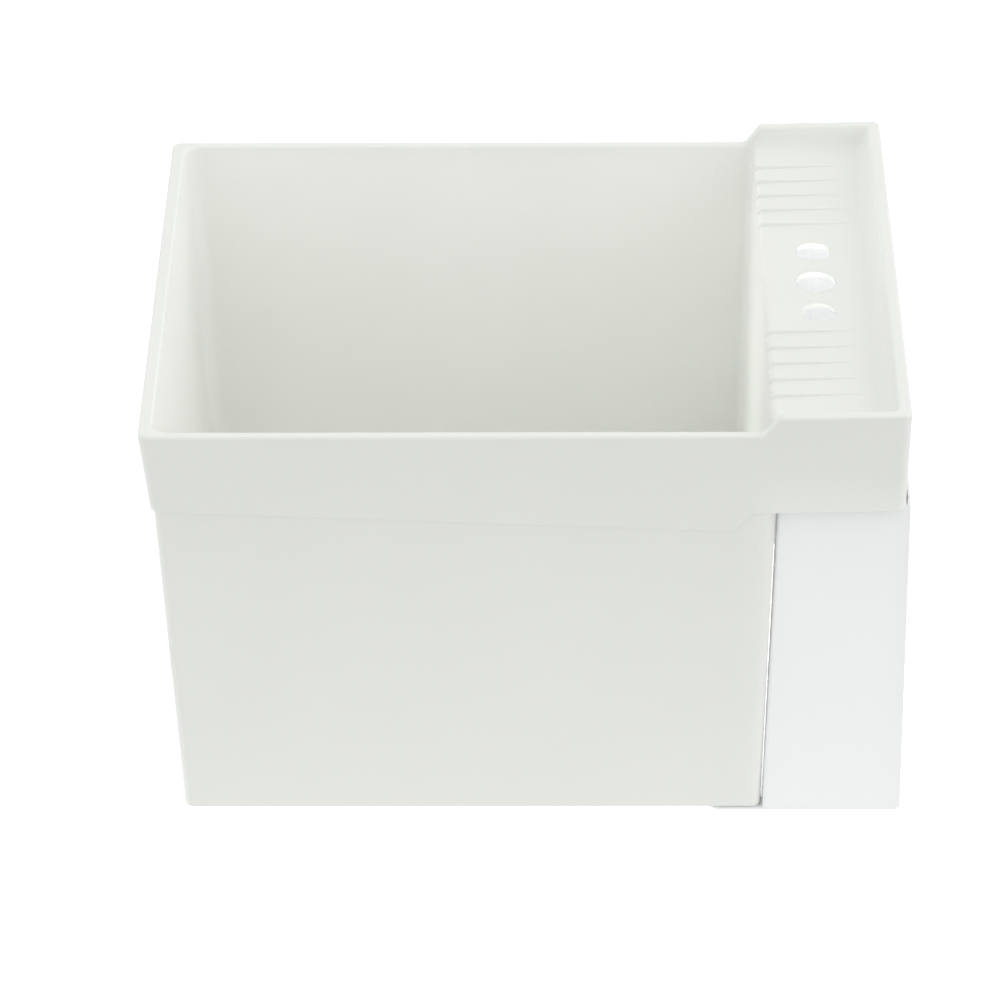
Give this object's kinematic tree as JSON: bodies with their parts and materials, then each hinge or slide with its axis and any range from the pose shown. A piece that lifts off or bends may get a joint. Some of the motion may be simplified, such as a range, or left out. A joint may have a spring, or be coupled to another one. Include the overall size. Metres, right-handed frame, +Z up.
{
  "type": "wall-mounted utility sink",
  "caption": "Deep rectangular wash basin with a raised rear faucet deck, hung on a sheet-steel wall bracket, with a central drain and rubber stopper.",
  "frame": {"origin": "centre of the four wall-bolt holes, on the bracket's back face, which lies on the wall", "axes": "+Y into the wall, +Z up, +X to the user's right as they face the wall"},
  "size_m": [0.4984, 0.5987, 0.4836],
  "materials": {
    "basin": "satin moulded off-white thermoplastic, fine orange-peel",
    "bracket_enamel": "smooth white baked enamel on sheet steel",
    "fastener_steel": "zinc-plated",
    "seal_rubber": "matt black",
    "drain_metal": "polished stainless",
    "friction_fibre": "pressed fibre",
    "nut_plastic": "moulded white plastic",
    "pipe_plastic": "extruded white plastic",
    "stopper_rubber": "matt black",
    "ring_steel": "bright plated wire"
  },
  "bodies": {
    "root": {"tub": "basin", "wall_panel": "bracket_enamel", "hanger_rail": "bracket_enamel", "left_wing": "bracket_enamel", "right_wing": "bracket_enamel", "support_shelf": "bracket_enamel", "deck_screws": "fastener_steel", "deck_washers": "fastener_steel", "flange_seal": "seal_rubber", "strainer_body": "drain_metal", "strainer_plate": "drain_metal", "drain_gasket": "seal_rubber", "friction_ring": "friction_fibre", "drain_locknut": "nut_plastic", "tailpiece_washer": "seal_rubber", "tailpiece": "pipe_plastic", "coupling_nut": "nut_plastic"},
    "stopper": {"stopper": "stopper_rubber", "stopper_eye": "ring_steel"},
    "ring": {"stopper_ring": "ring_steel"}
  },
  "joints": [
    {"name": "stopper_lift", "type": "slide", "parent": "root", "child": "stopper", "axis": [0, 0, 1], "range_m": [0, 0.38]},
    {"name": "ring_swing", "type": "hinge", "parent": "stopper", "child": "ring", "pos_m": [0, -0.3432, -0.1324], "axis": [-1, 0, 0], "range_deg": [0, 201]}
  ]
}
